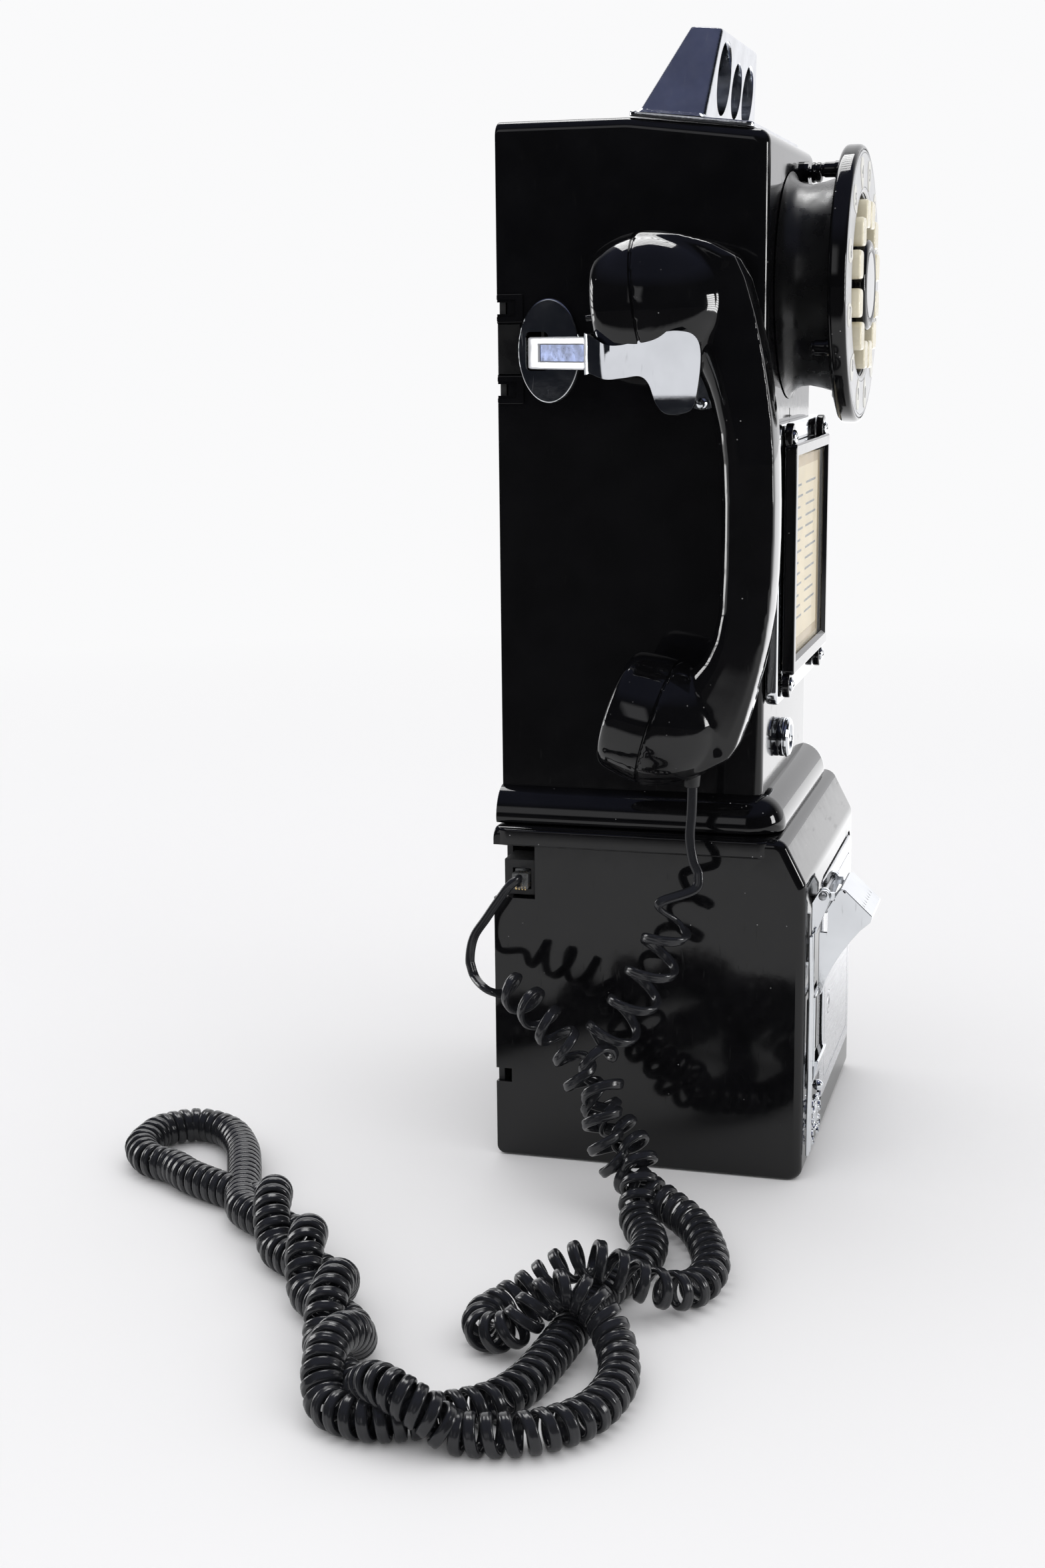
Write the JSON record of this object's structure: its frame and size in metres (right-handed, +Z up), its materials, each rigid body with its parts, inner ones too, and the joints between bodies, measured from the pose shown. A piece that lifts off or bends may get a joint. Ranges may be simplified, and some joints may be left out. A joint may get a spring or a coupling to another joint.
{
  "type": "payphone",
  "caption": "Wall or desk payphone: two-part housing with coin gauge, push keys in a round dial, card holder, vault door, coin return and a hook-hung handset on a curly cord.",
  "frame": {"origin": "centre of the base's underside", "axes": "+Z up, -Y is the front with the dial, -X is the side the handset hangs on"},
  "size_m": [0.4122, 0.3089, 0.4632],
  "materials": {
    "black_gloss": "high gloss black with dust and fine scratches",
    "black_matte": "matt black",
    "chrome": "polished",
    "satin": "satin silver",
    "cream": "semi-gloss",
    "paper": "printed card",
    "clear": "clear plastic",
    "steel": "bare steel",
    "board": "circuit board",
    "grey": "matt grey",
    "cord": "satin black jacket"
  },
  "bodies": {
    "housing": {"back_plate": "black_matte", "base_housing": "black_gloss", "bottom_plate": "black_matte", "card_backing": "chrome", "card_frame": "black_gloss", "card_sheet": "paper", "card_window": "clear", "cash_box": "steel", "coin_chute": "grey", "coin_gauge": "chrome", "coin_hopper": "grey", "cord_coil_a": "cord", "cord_coil_b": "cord", "cord_lead_handset": "cord", "cord_lead_plug": "cord", "cord_plug": "clear", "dial_bezel": "black_gloss", "dial_drum": "black_gloss", "dial_face": "satin", "dial_hub": "black_gloss", "dial_label": "paper", "hook_bracket": "steel", "hook_escutcheon": "chrome", "hook_pin": "steel", "hook_spring": "steel", "hook_switch": "black_matte", "housing_lock_barrel": "chrome", "jack": "black_matte", "keypad_board": "board", "main_board": "board", "return_cup": "black_matte", "return_pin": "steel", "return_plate": "chrome", "ringer": "steel", "upper_housing": "black_gloss", "vault_hinge_pin": "steel"},
    "handset": {"handset_body": "black_gloss", "ear_cap": "black_gloss", "mouth_cap": "black_gloss", "receiver": "grey", "transmitter": "grey"},
    "hook": {"hook_arm": "chrome"},
    "housing_plug": {"housing_lock_plug": "chrome"},
    "door": {"vault_door": "satin"},
    "door_plug": {"vault_lock_plug": "satin"},
    "hood": {"return_hood": "chrome"},
    "release": {"release_button": "black_gloss"},
    "key_1_body": {"key_1": "cream"},
    "key_2_body": {"key_2": "cream"},
    "key_3_body": {"key_3": "cream"},
    "key_4_body": {"key_4": "cream"},
    "key_5_body": {"key_5": "cream"},
    "key_6_body": {"key_6": "cream"},
    "key_7_body": {"key_7": "cream"},
    "key_8_body": {"key_8": "cream"},
    "key_9_body": {"key_9": "cream"},
    "key_0_body": {"key_0": "cream"},
    "key_star_body": {"key_star": "cream"},
    "key_hash_body": {"key_hash": "cream"}
  },
  "joints": [
    {"name": "handset_lift", "type": "slide", "parent": "housing", "child": "handset", "axis": [0, -0.6, 0.8], "range_m": [0, 0.25]},
    {"name": "hook_lever", "type": "hinge", "parent": "housing", "child": "hook", "pos_m": [-0.05, 0.048, 0.338], "axis": [0, 1, 0], "range_deg": [0, 7]},
    {"name": "key_1_press", "type": "slide", "parent": "housing", "child": "key_1_body", "axis": [0, 1, 0], "range_m": [0, 0.0018], "stiffness_N_per_m": 300},
    {"name": "key_2_press", "type": "slide", "parent": "housing", "child": "key_2_body", "axis": [0, 1, 0], "range_m": [0, 0.0018], "stiffness_N_per_m": 300},
    {"name": "key_3_press", "type": "slide", "parent": "housing", "child": "key_3_body", "axis": [0, 1, 0], "range_m": [0, 0.0018], "stiffness_N_per_m": 300},
    {"name": "key_4_press", "type": "slide", "parent": "housing", "child": "key_4_body", "axis": [0, 1, 0], "range_m": [0, 0.0018], "stiffness_N_per_m": 300},
    {"name": "key_5_press", "type": "slide", "parent": "housing", "child": "key_5_body", "axis": [0, 1, 0], "range_m": [0, 0.0018], "stiffness_N_per_m": 300},
    {"name": "key_6_press", "type": "slide", "parent": "housing", "child": "key_6_body", "axis": [0, 1, 0], "range_m": [0, 0.0018], "stiffness_N_per_m": 300},
    {"name": "key_7_press", "type": "slide", "parent": "housing", "child": "key_7_body", "axis": [0, 1, 0], "range_m": [0, 0.0018], "stiffness_N_per_m": 300},
    {"name": "key_8_press", "type": "slide", "parent": "housing", "child": "key_8_body", "axis": [0, 1, 0], "range_m": [0, 0.0018], "stiffness_N_per_m": 300},
    {"name": "key_9_press", "type": "slide", "parent": "housing", "child": "key_9_body", "axis": [0, 1, 0], "range_m": [0, 0.0018], "stiffness_N_per_m": 300},
    {"name": "key_0_press", "type": "slide", "parent": "housing", "child": "key_0_body", "axis": [0, 1, 0], "range_m": [0, 0.0018], "stiffness_N_per_m": 300},
    {"name": "key_star_press", "type": "slide", "parent": "housing", "child": "key_star_body", "axis": [0, 1, 0], "range_m": [0, 0.0018], "stiffness_N_per_m": 300},
    {"name": "key_hash_press", "type": "slide", "parent": "housing", "child": "key_hash_body", "axis": [0, 1, 0], "range_m": [0, 0.0018], "stiffness_N_per_m": 300},
    {"name": "release_press", "type": "slide", "parent": "housing", "child": "release", "axis": [0, 1, 0], "range_m": [0, 0.0012], "stiffness_N_per_m": 300},
    {"name": "housing_lock_turn", "type": "hinge", "parent": "housing", "child": "housing_plug", "pos_m": [-0.0135, -0.0486, 0.176], "axis": [0, 1, 0], "range_deg": [0, 90]},
    {"name": "vault_door_swing", "type": "hinge", "parent": "housing", "child": "door", "pos_m": [0.0642, -0.0639, 0.067], "axis": [0, 0, 1], "range_deg": [0, 95]},
    {"name": "vault_lock_turn", "type": "hinge", "parent": "door", "child": "door_plug", "pos_m": [-0.006, -0.0665, 0.057], "axis": [0, 1, 0], "range_deg": [0, 90]},
    {"name": "return_hood_swing", "type": "hinge", "parent": "housing", "child": "hood", "pos_m": [-0.046, -0.071, 0.1202], "axis": [-1, 0, 0], "range_deg": [0, 25], "stiffness_Nm_per_rad": 0.2}
  ],
  "couplings": [
    {"joint": "hook_lever", "follows": "handset_lift", "rad_per_m": 0.48}
  ]
}
